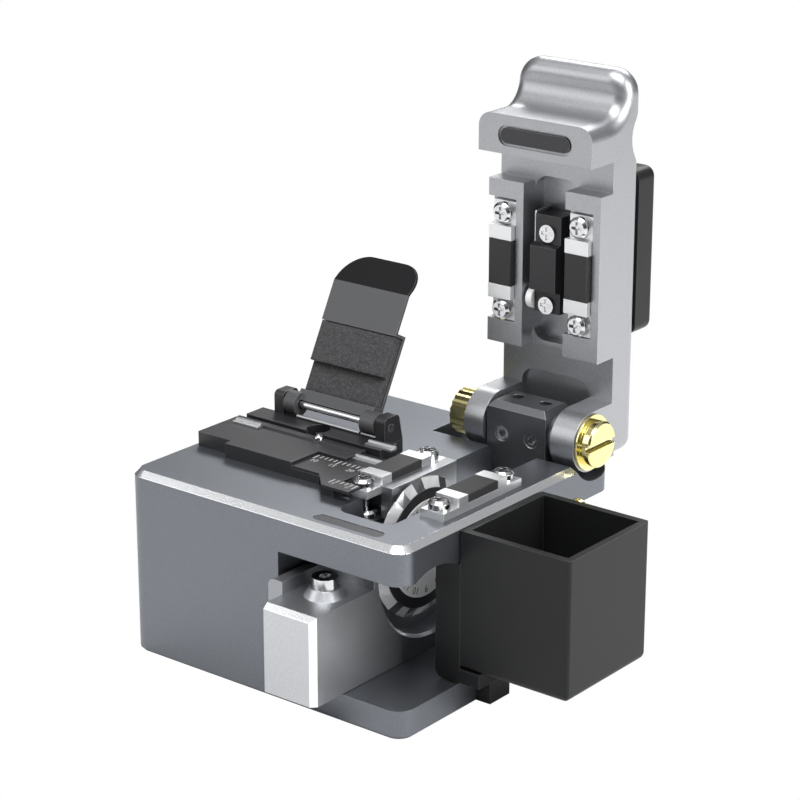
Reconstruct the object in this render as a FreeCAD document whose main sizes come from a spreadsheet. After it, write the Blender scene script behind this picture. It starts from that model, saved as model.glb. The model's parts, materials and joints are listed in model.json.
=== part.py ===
"""Fibre cleaver: a C-shaped base with a sliding blade carriage, a hinged pressing lid,
four fibre pads, a fibre holder with its own foam clamp, and a waste bin that slides off.

Millimetres, +Z up, origin at the middle of the base's underside. Places along X are
measured from the base's left face and places along Y from its front face.
"""
import FreeCAD, Part
import math
import os
import re

import Sketcher
from FreeCAD import Rotation, Vector

# Driving dimensions, in millimetres unless the name ends in _angle (degrees).
SIZES = {
    # base
    "base_width": 63.0, "base_depth": 61.6, "base_height": 35.2,
    "base_corner": 3.2, "base_chamfer": 1.1, "foot_chamfer": 0.6,
    "tunnel_left": 35.7, "plate_bottom": 5.4, "plate_top": 7.0,
    "slot_front": 7.6, "slot_corner": 2.4, "slot_entry_corner": 4.2,
    "pocket_depth": 4.6, "pocket_left": 42.3, "pocket_rear": 15.2,
    "scoop_left": 30.5, "scoop_radius": 7.4,
    "relief_y": 9.1, "relief_radius": 11.6, "relief_depth": 1.35,
    "magnet_length": 15.0, "magnet_width": 2.6, "magnet_depth": 2.0, "magnet_y": 3.4,
    "magnet_x": 48.7, "fit": 0.05, "gap": 0.3,
    # hinge
    "shaft_radius": 2.5, "hinge_depth": 8.4, "hinge_foot": 4.8, "hinge_chamfer": 1.1,
    "hinge_hole": 1.2, "hinge_hole_depth": 2.0, "hinge_hole_inset": 3.45,
    "set_screw": 1.45, "set_screw_inset": 3.3, "set_screw_length": 1.9,
    "set_screw_sink": 0.25, "set_screw_hex": 0.85,
    "washer": 0.4, "washer_radius": 4.4, "cap_washer_radius": 5.2,
    "nut_radius": 4.4, "nut_length": 4.1, "cap_radius": 4.3, "cap_length": 2.1,
    "cap_slot": 1.0, "cap_slot_depth": 0.8, "cap_chamfer": 0.35,
    # lid, which stands upright when it is open
    "lid_left": 37.6, "lid_width": 24.5,
    "lid_heel": 2.5, "ear_width": 4.3, "ear_right_width": 5.1, "ear_radius": 5.6,
    "hollow_depth": 1.0, "hollow_corner": 2.7,
    "well_margin": 7.7,
    "seat_wall": 1.6,
    "lip_fillet": 4.6, "lip_round": 2.7, "lip_corner": 4.6,
    "neck_radius": 5.7,
    "lid_magnet_rim": 0.5, "lid_magnet_width": 2.9,
    "peep_radius": 0.6, "peep_x": 51.5, "peep_depth": 2.0,
    "cover_inset": 0.5, "cover_depth": 5.5,
    "cover_corner": 2.0, "cover_edge": 1.0,
    # fibre pads, two on the base and two on the lid
    "pad_width": 5.0, "pad_height": 3.0, "pad_foot": 1.4, "pad_length": 22.4,
    "rubber_length": 8.6, "clip_length": 2.6, "pad_screw_reach": 9.1,
    "fibre_y": 25.8,
    "screw_radius": 2.0, "screw_head": 1.6, "screw_dome": 0.5, "screw_cross": 0.55,
    "screw_cross_length": 2.3, "screw_cross_depth": 0.7,
    "bracket_left": 38.6, "bracket_front": 19.7, "bracket_rear": 37.0,
    "post_y": 17.3, "post_radius": 0.5, "post_collar": 1.0, "post_collar_height": 0.5,
    # anvil in the middle of the lid
    "anvil_width": 5.6,
    "bar_slope": 0.8,
    "anvil_screw": 1.65,
    "anvil_screw_head": 0.5, "leaf_thick": 0.4,
    "roller_radius": 2.0, "roller_length": 1.3,
    # slider and blade
    "slider_left": 39.0, "slider_width": 11.1, "slider_front": -7.7, "slider_rear": 40.0,
    "slider_step": 8.6, "slider_chamfer": 1.0,
    "carriage_left": 35.9, "carriage_front": -2.8, "carriage_rear": 44.0,
    "carriage_corner": 1.2, "slide_floor": 0.1,
    "rail_length": 33.0, "rail_rear": 60.0, "rail_depth": 2.0, "rail_height": 6.0,
    "rail_z": 11.0, "dish_radius": 14.75, "dish_depth": 3.6,
    "dish_chamfer": 0.5, "blade_y": 24.1, "blade_radius": 12.95,
    "blade_flat": 11.0, "blade_edge_x": 48.0, "blade_bevel": 1.0, "dial_radius": 9.0,
    "dial_thick": 0.3, "ring_thick": 0.15, "blade_shaft": 1.5, "boss_x": 44.8, "boss_y": 1.8,
    "boss_radius": 3.75, "boss_top_radius": 2.7, "boss_height": 1.6, "cap_screw": 2.35,
    "cap_screw_height": 1.9, "cap_screw_socket": 1.1,
    # fibre holder
    "holder_left": 2.0, "holder_step": 10.1, "holder_end": 32.4, "holder_front": 15.0,
    "holder_notch": 16.7, "holder_back": 28.0, "groove_left": 7.5,
    "groove_depth": 0.7, "table_end": 38.1, "foot_inset": 0.3,
    "scale_left": 26.0, "scale_thick": 0.55, "scale_back": 22.3,
    "scale_nose_left": 36.2, "scale_nose_right": 42.2, "scale_nose_front": 11.1,
    "scale_nose_back": 14.5, "rear_left": 3.4, "rear_right": 35.5, "rear_front": 28.4,
    "rear_back": 33.0, "deck_back": 37.5,
    "eye_x": 19.3, "eye_y": 30.4, "eye_radius": 2.25, "ball_x": 22.0, "ball_y": 27.2,
    "ball_radius": 0.9, "leaf_width": 4.0, "leaf_long": 6.0, "leaf_plate": 0.4,
    # fibre clamp
    "axle_y": 34.1, "axle_radius": 0.75, "ear_left": 6.9, "ear_thick": 2.2,
    "ear_right": 31.1, "ear_front": 32.3, "ear_back": 36.4, "ear_round": 1.0,
    "knuckle": 2.2, "knuckle_lap": 1.0, "sheet_left": 11.0, "sheet_width": 17.5, "sheet_thick": 0.6,
    "open_angle": 118.0, "foam_start": 2.9, "foam_step": 8.5, "foam_end": 16.2,
    "foam_inner": -0.9, "foam_outer": 0.3, "sheet_back": 2.7, "jog_at": 16.9,
    "tab_to": 24.1, "tab_front": 0.45, "lip_length": 6.8,
    "lip_angle": 28.0, "tab_corner": 5.0, "spring_y": 32.6,
    "spring_radius": 0.35,
    # waste bin
    "bin_front": 15.6, "bin_back": 39.3,
    "bin_wall": 1.3, "bin_edge": 1.4, "bin_corner": 0.7,
    "stop_width": 3.1, "stop_front": 20.8, "stop_depth": 5.7,
    "stop_bottom": 0.5, "pin_y": 29.0,
    "pin_radius": 0.9, "pin_length": 1.8,
    "knob_radius": 2.0, "knob_length": 1.7,
    # rises and reaches, which the places below are worked out from
    "axis_inset": 5.8, "axis_rise": 3.2, "hinge_height": 8.4, "hinge_reach": 4.8,
    "scoop_back": 0.7, "scoop_rise": 3.4, "set_screw_rise": 2.5, "slot_tail": 0.4,
    "holder_thick": 2.8, "table_thick": 2.1, "scale_rise": 2.2, "rear_thick": 3.3,
    "deck_thick": 2.4, "axle_rise": 5.5, "ear_rise": 2.1, "ear_clear": 0.8,
    "heel_drop": 5.1, "slab_reach": 14.3, "hollow_reach": 8.6, "well_reach": 15.1,
    "seat_margin": 0.1, "seat_room": 0.6,
    "block_reach": 20.8, "block_height": 7.2, "lip_height": 8.2, "lid_magnet_rise": 3.4,
    "neck_drop": 4.1, "cover_reach": 16.5, "peep_drop": 4.9,
    "lid_back": 14.2, "lid_thick": 7.6, "slab_step": 1.5, "rail_proud": 3.7,
    "well_depth": 2.6, "block_proud": 7.0, "lip_thick": 5.6, "neck_back": 2.2,
    "anvil_proud": 2.3, "bar_proud": 1.6, "anvil_below": 8.6, "anvil_above": 9.6,
    "bar_below": 4.2, "bar_above": 4.0, "screw_above": 6.3, "screw_below": 7.2,
    "leaf_above": 10.0, "leaf_start": 3.6, "roller_below": 6.5, "roller_sunk": 1.0,
    "blade_rise": 2.35, "dish_drop": 1.2, "dish_back": 0.9, "slider_clear": 0.4,
    "slider_drop": 5.8, "carriage_drop": 3.5, "bin_width": 22.6, "housing_depth": 5.0,
    "housing_foot": 4.2, "pin_inset": 2.7, "knob_inset": 6.7, "knob_drop": 2.2,
    "bin_lift": 2.6, "rim_drop": 1.1, "fence_width": 2.4, "fence_front": 18.6,
    "fence_rise": 1.4, "thrust_left": 0.4, "thrust_right": 1.4, "well_right": 7.6,
    "pad_inset": 3.5, "pad_inset_right": 4.2, "slot_lap": 0.05, "slot_wall": 1.0,
    "well_above": 16.1, "rail_above": 15.1, "cover_above": 17.4,
}

# Places that follow from the driving dimensions. A formula may use other places.
PLACES = {
    # across the lid: hinge block between the ears, pads, well and blade slot
    "hinge_left": "lid_left + ear_width + 2 * fit + thrust_left",
    "hinge_width": "lid_width - ear_width - ear_right_width - thrust_left - thrust_right - 4 * fit",
    "pad_left": "lid_left + pad_inset", "pad_right": "lid_left + lid_width - pad_inset_right",
    "well_width": "lid_width - well_margin - well_right",
    "slot_left": "pad_left + pad_width / 2 - slot_lap",
    "slot_width": "pad_right - pad_width / 2 - slot_wall - slot_left",
    # hinge and scoop
    "axis_y": "base_depth - axis_inset", "axis_z": "base_height + axis_rise",
    "hinge_top": "base_height + hinge_height", "hinge_front": "axis_y - hinge_reach",
    "scoop_y": "axis_y + scoop_back", "scoop_z": "base_height + scoop_rise",
    "set_screw_z": "base_height + set_screw_rise", "slot_rear": "hinge_front + slot_tail",
    # holder and clamp
    "holder_top": "base_height + holder_thick", "table_top": "base_height + table_thick",
    "scale_top": "base_height + scale_rise", "rear_top": "base_height + rear_thick",
    "deck_top": "base_height + deck_thick", "axle_z": "base_height + axle_rise",
    "ear_top": "axle_z + ear_rise",
    # lid, upright: depths behind the axis, heights above it
    "seat_front": "axis_y + 2 * pad_height + gap - axis_rise",
    "rail_front": "slab_front - rail_proud", "slab_front": "lid_front - slab_step",
    "lid_front": "lid_rear - lid_thick", "lid_rear": "axis_y + lid_back",
    "well_floor": "slab_front + well_depth", "block_front": "slab_front - block_proud",
    "lip_front": "lid_rear - lip_thick", "neck_y": "lid_rear + neck_back",
    "lid_pad_z": "axis_z + axis_y - fibre_y", "lid_bottom": "axis_z - heel_drop",
    "slab_bottom": "axis_z + slab_reach", "hollow_top": "axis_z + hollow_reach",
    "well_bottom": "axis_z + well_reach", "well_top": "lid_pad_z + well_above",
    "rail_top": "lid_pad_z + rail_above",
    "seat_bottom": "lid_pad_z - pad_length / 2 - seat_margin",
    "seat_top": "lid_pad_z + pad_length / 2 + seat_room",
    "block_bottom": "lid_pad_z + block_reach", "block_top": "block_bottom + block_height",
    "lid_top": "block_top + lip_height", "lid_magnet_z": "block_bottom + lid_magnet_rise",
    "neck_z": "block_top - neck_drop", "cover_bottom": "axis_z + cover_reach",
    "cover_top": "lid_pad_z + cover_above", "peep_z": "well_top - peep_drop",
    # anvil
    "anvil_front": "slab_front - anvil_proud", "bar_front": "anvil_front - bar_proud",
    "anvil_bottom": "lid_pad_z - anvil_below", "anvil_top": "lid_pad_z + anvil_above",
    "bar_bottom": "lid_pad_z - bar_below", "bar_top": "lid_pad_z + bar_above",
    "anvil_screw_high": "lid_pad_z + screw_above", "anvil_screw_low": "lid_pad_z - screw_below",
    "leaf_top": "lid_pad_z + leaf_above", "leaf_bottom": "lid_pad_z + leaf_start",
    "roller_z": "lid_pad_z - roller_below", "roller_y": "anvil_front + roller_sunk",
    # slider and blade
    "blade_z": "base_height + blade_rise - blade_radius", "dish_z": "blade_z - dish_drop",
    "dish_y": "blade_y + dish_back", "slider_high": "base_height - plate_top - slider_clear",
    "slider_low": "slider_high - slider_drop", "carriage_top": "slider_high - carriage_drop",
    # waste bin
    "bin_left": "base_width + gap", "bin_right": "bin_left + bin_width",
    "housing_left": "base_width - housing_depth", "pin_x": "bin_left + pin_inset",
    "housing_foot_right": "bin_left + housing_foot", "knob_x": "bin_left + knob_inset",
    "housing_bottom": "plate_bottom + gap", "bin_bottom": "housing_bottom + bin_lift",
    "housing_top": "base_height - plate_top - gap", "bin_top": "base_height - rim_drop",
    "stop_height": "housing_bottom - gap - stop_bottom", "knob_z": "bin_top - knob_drop",
}

NODES = []
doc = FreeCAD.newDocument("fibre_cleaver")
sheet = doc.addObject("Spreadsheet::Sheet", "sizes")
for row, (alias, number) in enumerate(SIZES.items(), start=1):
    sheet.set("A%d" % row, alias)
    sheet.set("B%d" % row, "%g" % number)
    sheet.setAlias("B%d" % row, alias)
doc.recompute()

X0 = "-base_width / 2 + "
Y0 = "-base_depth / 2 + "
TINY = 1e-3
OVER = "1"


NAME = re.compile(r"[a-z][a-z0-9_]*")


def expand(text):
    """Write every place in a formula out until only sizes are left."""
    text = str(text)
    while any(name in PLACES for name in NAME.findall(text)):
        text = NAME.sub(lambda m: "(%s)" % PLACES[m[0]] if m[0] in PLACES else m[0], text)
    return text


def cell(text):
    """Turn a formula of size and place names into an expression on the sheet."""
    return NAME.sub(r"sizes.\g<0>", expand(text))


def value(text):
    """Work a formula of size and place names out as a number."""
    return FreeCAD.Units.Quantity(NAME.sub(lambda m: repr(SIZES[m[0]]), expand(text))).Value


def bind(thing, **formulas):
    """Bind properties to formulas; a double underscore stands for a dot."""
    for prop, formula in formulas.items():
        thing.setExpression(prop.replace("__", "."), cell(formula))
    return thing


def spot(thing, x, y, z):
    """Place an object: X from the left face, Y from the front face, Z from the floor."""
    return bind(thing, Placement__Base__x=X0 + x, Placement__Base__y=Y0 + y, Placement__Base__z=z)


def shift(thing, x="0", y="0", z="0"):
    """Place an object by plain formulas in its own frame."""
    return bind(thing, Placement__Base__x=x, Placement__Base__y=y, Placement__Base__z=z)


def box(x, y, z, dx, dy, dz, place=spot):
    """A block from its low corner and its three lengths."""
    block = doc.addObject("Part::Box", "block")
    bind(block, Length=dx, Width=dy, Height=dz)
    return place(block, x, y, z)


TURNS = {"x": Rotation(Vector(0, 1, 0), 90), "y": Rotation(Vector(1, 0, 0), -90), "z": Rotation()}


def rod(axis, x, y, z, radius, length, place=spot):
    """A cylinder that starts at a point and runs along +axis."""
    bar = doc.addObject("Part::Cylinder", "rod")
    bar.Placement = FreeCAD.Placement(Vector(), TURNS[axis])
    bind(bar, Radius=radius, Height=length)
    return place(bar, x, y, z)


def cone(axis, x, y, z, radius, end_radius, length, place=spot):
    """A cone frustum that starts at a point and runs along +axis."""
    horn = doc.addObject("Part::Cone", "cone")
    horn.Placement = FreeCAD.Placement(Vector(), TURNS[axis])
    bind(horn, Radius1=radius, Radius2=end_radius, Height=length)
    return place(horn, x, y, z)


def prism(plane, points, start, length):
    """Pad a closed outline of formula points.

    plane "XY" pads up from start, "YZ" pads to +X from start. Points are pairs of formulas.
    """
    body = doc.addObject("PartDesign::Body", "outline")
    planes = {item.Role: item for item in body.Origin.OriginFeatures}
    sketch = body.newObject("Sketcher::SketchObject", "profile")
    sketch.AttachmentSupport = [(planes[plane + "_Plane"], "")]
    sketch.MapMode = "FlatFace"
    sketch.setExpression("AttachmentOffset.Base.z", cell(start))
    corners = [Vector(value(u), value(v), 0) for u, v in points]
    count = len(corners)
    sides = [Part.LineSegment(corners[i], corners[(i + 1) % count]) for i in range(count)]
    sketch.addGeometry(sides, False)
    for i in range(count):
        sketch.addConstraint(Sketcher.Constraint("Coincident", i, 2, (i + 1) % count, 1))
    for i, (u, v) in enumerate(points):
        for kind, formula, number in (("DistanceX", u, corners[i].x), ("DistanceY", v, corners[i].y)):
            index = sketch.addConstraint(Sketcher.Constraint(kind, -1, 1, i, 1, number))
            sketch.setExpression("Constraints[%d]" % index, cell(formula))
    pad = body.newObject("PartDesign::Pad", "pad")
    pad.Profile = sketch
    pad.setExpression("Length", cell(length))
    doc.recompute()
    return body


def side_points(*pairs):
    """Outline points (Y from the front face, Z) as formulas in the part's frame."""
    return [(Y0 + y, z) for y, z in pairs]


def plan_points(*pairs):
    """Outline points (X from the left face, Y from the front face) in the part's frame."""
    return [(X0 + x, Y0 + y) for x, y in pairs]


def join(*pieces):
    """Fuse pieces into one solid."""
    if len(pieces) == 1:
        return pieces[0]
    union = doc.addObject("Part::MultiFuse", "union")
    union.Shapes = list(pieces)
    union.Refine = True
    return union


def cut(piece, *tools):
    """Cut tools away from a piece."""
    rest = doc.addObject("Part::Cut", "cut")
    rest.Base = piece
    rest.Tool = join(*tools)
    rest.Refine = True
    doc.recompute()
    return rest


def common(piece, other):
    """Keep what two pieces share."""
    shared = doc.addObject("Part::MultiCommon", "shared")
    shared.Shapes = [piece, other]
    doc.recompute()
    return shared


def carry(piece, turn):
    """Hold a piece that is drawn in its own frame, turned about that frame's origin."""
    carrier = doc.addObject("Part::Compound", "carrier")
    carrier.Links = [piece]
    carrier.Placement = FreeCAD.Placement(Vector(), turn)
    return carrier


def dress(kind, piece, test, size):
    """Round ("Fillet") or break ("Chamfer") the edges that pass a test."""
    doc.recompute()
    worked = doc.addObject("Part::" + kind, kind.lower())
    worked.Base = piece
    amount = SIZES[size]
    chosen = [i for i, edge in enumerate(piece.Shape.Edges, start=1) if test(edge)]
    if not chosen:
        raise ValueError("no edge for " + size)
    worked.Edges = [(index, amount, amount) for index in chosen]
    doc.recompute()
    return worked


def middle(edge):
    """The point half way along an edge."""
    return edge.valueAt((edge.FirstParameter + edge.LastParameter) / 2)


def runs(edge, axis):
    """True for a straight edge along an axis."""
    if not isinstance(edge.Curve, Part.Line):
        return False
    return abs(getattr(edge.Curve.Direction, axis)) > 1 - TINY


def near(number, formula):
    """True where a coordinate equals a formula."""
    return abs(number - value(formula)) < 10 * TINY


def node(name, piece):
    """Give the finished piece its node name and keep it for export."""
    piece.Label = name
    NODES.append((name, piece))
    return piece


def stadium(plane, x, y, z, length, width, depth):
    """A slot with round ends along X; z is its middle height or its floor."""
    straight = "(" + length + ") - (" + width + ")"
    low_x = x + " - (" + straight + ") / 2"
    high_x = x + " + (" + straight + ") / 2"
    half = "(" + width + ") / 2"
    if plane == "top":
        bar = box(low_x, y + " - " + half, z, straight, width, depth)
        ends = [rod("z", end, y, z, half, depth) for end in (low_x, high_x)]
    else:
        bar = box(low_x, y, z + " - " + half, straight, depth, width)
        ends = [rod("y", end, y, z, half, depth) for end in (low_x, high_x)]
    return join(bar, *ends)


# ---------------------------------------------------------------- base
def make_base():
    """The C-shaped body: two plates joined on the left, with slot, pockets and scoop."""
    blank = box("0", "0", "0", "base_width", "base_depth", "base_height")
    blank = dress("Fillet", blank, lambda e: runs(e, "z"), "base_corner")
    blank = dress("Chamfer", blank, lambda e: near(middle(e).z, "base_height"), "base_chamfer")
    blank = dress("Chamfer", blank, lambda e: near(middle(e).z, "0"), "foot_chamfer")
    tunnel_height = "base_height - plate_top - plate_bottom"
    tunnel = box("tunnel_left", "-" + OVER, "plate_bottom",
                 "base_width - tunnel_left + " + OVER, "base_depth + 2 * " + OVER, tunnel_height)
    slot = box("slot_left", "slot_front", "base_height - plate_top - " + OVER, "slot_width",
               "slot_rear - slot_front", "plate_top + 2 * " + OVER)
    front = value(Y0 + "slot_front")
    left = value(X0 + "slot_left")
    slot = dress("Fillet", slot, lambda e: runs(e, "z") and abs(middle(e).y - front) < TINY
                 and abs(middle(e).x - left) > TINY, "slot_corner")
    slot = dress("Fillet", slot, lambda e: runs(e, "z") and abs(middle(e).y - front) < TINY
                 and abs(middle(e).x - left) < TINY, "slot_entry_corner")
    floor = "base_height - pocket_depth"
    tall = "pocket_depth + " + OVER
    pocket = box("pocket_left", "slot_front", floor, "slot_left + slot_width - pocket_left",
                 "pocket_rear - slot_front", tall)
    pocket = dress("Fillet", pocket, lambda e: runs(e, "z") and abs(middle(e).y - front) < TINY,
                   "slot_corner")
    bracket_pocket = box("bracket_left", "pocket_rear", floor, "slot_left - bracket_left + fit",
                         "bracket_rear - pocket_rear", tall)
    scoop = rod("x", "scoop_left", "scoop_y", "scoop_z", "scoop_radius",
                "base_width - scoop_left + " + OVER)
    hinge_seat = box("hinge_left", "hinge_front", "base_height - hinge_foot", "hinge_width",
                     "hinge_depth", "hinge_foot + " + OVER)
    relief = rod("x", "slot_left + slot_width", "relief_y",
                 "base_height - plate_top + relief_depth - relief_radius", "relief_radius",
                 "base_width - slot_left - slot_width + " + OVER)
    magnet = stadium("top", "magnet_x", "magnet_y", "base_height - magnet_depth",
                     "magnet_length", "magnet_width", "magnet_depth + " + OVER)
    lower = box("0", "-" + OVER, "0", "base_width + 2 * " + OVER, "base_depth + 2 * " + OVER,
                "plate_bottom")
    relief = cut(relief, lower)
    node("base_body", cut(blank, tunnel, slot, pocket, bracket_pocket, scoop, hinge_seat, relief,
                          magnet))
    node("base_magnet", stadium("top", "magnet_x", "magnet_y", "base_height - magnet_depth",
                                "magnet_length", "magnet_width", "magnet_depth - 0.1"))


def make_slide_rail():
    """The guide rail on the tunnel's left wall, which the carriage runs on."""
    rail = box("tunnel_left", "rail_rear - rail_length", "rail_z", "rail_depth", "rail_length",
               "rail_height")
    node("slide_rail", rail)


# ---------------------------------------------------------------- hinge
def make_hinge():
    """The hinge block let into the base, its set screws, shaft, washers, nut and cap."""
    block = box("hinge_left", "hinge_front", "base_height - hinge_foot", "hinge_width",
                "hinge_depth", "hinge_top - base_height + hinge_foot")
    block = dress("Chamfer", block, lambda e: near(middle(e).z, "hinge_top"), "hinge_chamfer")
    bore = rod("x", "hinge_left - " + OVER, "axis_y", "axis_z", "shaft_radius",
               "hinge_width + 2 * " + OVER)
    holes = []
    screws = []
    for inset in ("hinge_hole_inset", "hinge_width - hinge_hole_inset"):
        holes.append(rod("z", "hinge_left + " + inset, "axis_y", "hinge_top - hinge_hole_depth",
                         "hinge_hole", "hinge_hole_depth + " + OVER))
    for inset in ("set_screw_inset", "hinge_width - set_screw_inset"):
        x = "hinge_left + " + inset
        holes.append(rod("y", x, "hinge_front - " + OVER, "set_screw_z", "set_screw",
                         "set_screw_sink + set_screw_length + " + OVER))
        plug = rod("y", x, "hinge_front + set_screw_sink", "set_screw_z", "set_screw",
                   "set_screw_length")
        socket = doc.addObject("Part::Prism", "socket")
        socket.Polygon = 6
        socket.Placement = FreeCAD.Placement(Vector(), TURNS["y"])
        bind(socket, Circumradius="set_screw_hex", Height="set_screw_length / 2 + " + OVER)
        spot(socket, x, "hinge_front + set_screw_sink - " + OVER, "set_screw_z")
        screws.append(cut(plug, socket))
    node("hinge_block", cut(block, bore, *holes))
    node("hinge_set_screws", join(*screws))
    lid_right = "lid_left + lid_width"
    start = "lid_left - fit * 2 - washer - nut_length"
    node("pivot_shaft", rod("x", start + " + cap_chamfer", "axis_y", "axis_z", "shaft_radius",
                            "nut_length + lid_width + washer + fit * 4 - cap_chamfer"))
    rings = {
        "nut_washer": ("lid_left - fit * 2 - washer", "washer_radius", "washer"),
        "thrust_washer_left": ("hinge_left - thrust_left", "washer_radius", "thrust_left"),
        "thrust_washer_right": ("hinge_left + hinge_width", "washer_radius", "thrust_right"),
        "cap_washer": (lid_right + " + fit * 2", "cap_washer_radius", "washer"),
        "pivot_nut": (start, "nut_radius", "nut_length"),
    }
    for name, (x, radius, length) in rings.items():
        ring = rod("x", x, "axis_y", "axis_z", radius, length)
        hole = rod("x", x + " + cap_chamfer" if name == "pivot_nut" else x, "axis_y", "axis_z",
                   "shaft_radius", length + " + " + OVER)
        node(name, cut(ring, hole))
    head_x = lid_right + " + fit * 2 + washer"
    head = rod("x", head_x, "axis_y", "axis_z", "cap_radius", "cap_length")
    head = dress("Chamfer", head, lambda e: near(middle(e).x, X0 + head_x + " + cap_length"),
                 "cap_chamfer")
    slit = box(head_x + " + cap_length - cap_slot_depth", "axis_y - cap_radius * 1.5",
               "axis_z - cap_slot / 2", "cap_slot_depth + " + OVER, "cap_radius * 3", "cap_slot")
    node("pivot_cap_screw", cut(head, slit))


# ---------------------------------------------------------------- lid
def make_lid():
    """The lid arm with its ears, pad rails, front block and grip lip."""
    arm = prism("YZ", side_points(
        ("lid_front", "lid_bottom"), ("lid_rear", "lid_bottom"), ("lid_rear", "lid_top"),
        ("lip_front", "lid_top"), ("lip_front", "block_top"), ("block_front", "block_top"),
        ("block_front", "block_bottom"), ("slab_front", "block_bottom"),
        ("slab_front", "slab_bottom"), ("lid_front", "slab_bottom")), X0 + "lid_left", "lid_width")

    def inner_lip(edge):
        return near(middle(edge).y, Y0 + "lip_front") and near(middle(edge).z, "block_top")

    arm = dress("Fillet", arm, inner_lip, "lip_fillet")
    arm = dress("Fillet", arm, lambda e: runs(e, "y") and near(middle(e).z, "lid_top"),
                "lip_corner")
    arm = dress("Fillet", arm, lambda e: near(middle(e).z, "lid_top"), "lip_round")
    arm = dress("Fillet", arm, lambda e: runs(e, "x") and near(middle(e).z, "lid_bottom")
                and near(middle(e).y, Y0 + "lid_rear"), "lid_heel")
    rails = []
    for x, width in (("lid_left", "well_margin"),
                     ("lid_left + well_margin + well_width", "lid_width - well_margin - well_width")):
        rails.append(box(x, "rail_front", "slab_bottom", width, "slab_front - rail_front + " + OVER,
                         "rail_top - slab_bottom"))
    ears = []
    for x, width in (("lid_left", "ear_width"), ("lid_left + lid_width - ear_right_width",
                                                  "ear_right_width")):
        ears.append(rod("x", x, "axis_y", "axis_z", "ear_radius", width))
        ears.append(box(x, "axis_y", "axis_z - ear_radius + ear_clear", width,
                        "lid_front - axis_y + " + OVER, "2 * ear_radius - ear_clear"))
    solid = join(arm, *(rails + ears))
    bore = rod("x", "lid_left - " + OVER, "axis_y", "axis_z", "shaft_radius + fit",
               "lid_width + 2 * " + OVER)
    hollow = box("lid_left + ear_width", "lid_front - " + OVER, "lid_bottom - 3 * " + OVER,
                 "lid_width - ear_width - ear_right_width", "hollow_depth + " + OVER,
                 "hollow_top - lid_bottom + 3 * " + OVER)
    hollow = dress("Fillet", hollow, lambda e: runs(e, "y") and near(middle(e).z, "hollow_top"),
                   "hollow_corner")
    well = box("lid_left + well_margin", "rail_front - " + OVER, "well_bottom", "well_width",
               "well_floor - rail_front + " + OVER, "well_top - well_bottom")
    well = dress("Fillet", well, lambda e: runs(e, "y"), "hollow_corner")
    seats = []
    for x, width in (("lid_left - " + OVER, "well_margin - seat_wall + " + OVER),
                     ("lid_left + well_margin + well_width - " + OVER,
                      "lid_width - well_margin - well_width - seat_wall + " + OVER)):
        seats.append(box(x, "rail_front - " + OVER, "seat_bottom", width,
                         "seat_front - rail_front + " + OVER, "seat_top - seat_bottom"))
    neck = rod("x", "lid_left - " + OVER, "neck_y", "neck_z", "neck_radius",
               "lid_width + 2 * " + OVER)
    rim = stadium("front", "lid_left + lid_width / 2", "block_front - " + OVER, "lid_magnet_z",
                  "magnet_length + 2 * lid_magnet_rim", "lid_magnet_width + 2 * lid_magnet_rim",
                  "lid_magnet_rim + " + OVER)
    socket = stadium("front", "lid_left + lid_width / 2", "block_front", "lid_magnet_z",
                     "magnet_length", "lid_magnet_width", "magnet_depth + lid_magnet_rim")
    peep = rod("y", "peep_x", "well_floor - " + OVER, "peep_z", "peep_radius",
               "peep_depth + " + OVER)
    node("lid_arm", cut(solid, bore, hollow, well, neck, rim, socket, peep, *seats))
    node("lid_magnet", stadium("front", "lid_left + lid_width / 2", "block_front + 0.1",
                               "lid_magnet_z", "magnet_length", "lid_magnet_width",
                               "magnet_depth + lid_magnet_rim - 0.1"))
    cover = box("lid_left + cover_inset", "lid_rear", "cover_bottom", "lid_width - 2 * cover_inset",
                "cover_depth", "cover_top - cover_bottom")
    cover = dress("Fillet", cover, lambda e: runs(e, "y"), "cover_corner")
    rear = Y0 + "lid_rear + cover_depth"
    cover = dress("Fillet", cover, lambda e: near(middle(e).y, rear), "cover_edge")
    node("lid_rear_cover", cover)


# ---------------------------------------------------------------- pads
def pan_screw(y):
    """A cross-slotted pan head on the pad's foot, in the pad's own frame."""
    head = rod("z", "0", y, "pad_foot", "screw_radius", "screw_head", shift)
    head = dress("Chamfer", head, lambda e: near(middle(e).z, "pad_foot + screw_head"), "screw_dome")
    slits = []
    for dx, dy in (("screw_cross", "screw_cross_length"), ("screw_cross_length", "screw_cross")):
        slits.append(box("-(" + dx + ") / 2", y + " - (" + dy + ") / 2",
                         "pad_foot + screw_head - screw_cross_depth", dx, dy,
                         "screw_cross_depth + " + OVER, shift))
    return cut(head, *slits)


def make_pad(prefix, x, y, z, upright):
    """One pad: foot plate with two clips, the rubber between them and two screws."""
    foot = box("-pad_width / 2", "-pad_length / 2", "0", "pad_width", "pad_length", "pad_foot", shift)
    clips = []
    for side in ("rubber_length / 2", "-rubber_length / 2 - clip_length"):
        clips.append(box("-pad_width / 2", side, "0", "pad_width", "clip_length", "pad_height", shift))
    rubber = box("-pad_width / 2", "-rubber_length / 2", "pad_foot", "pad_width", "rubber_length",
                 "pad_height - pad_foot", shift)
    screws = join(pan_screw("pad_screw_reach"), pan_screw("-pad_screw_reach"))
    turn = Rotation(Vector(1, 0, 0), 90) if upright else Rotation()
    for name, piece in (("frame", join(foot, *clips)), ("rubber", rubber), ("screws", screws)):
        node("%s_%s" % (prefix, name), spot(carry(piece, turn), x, y, z))


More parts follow.
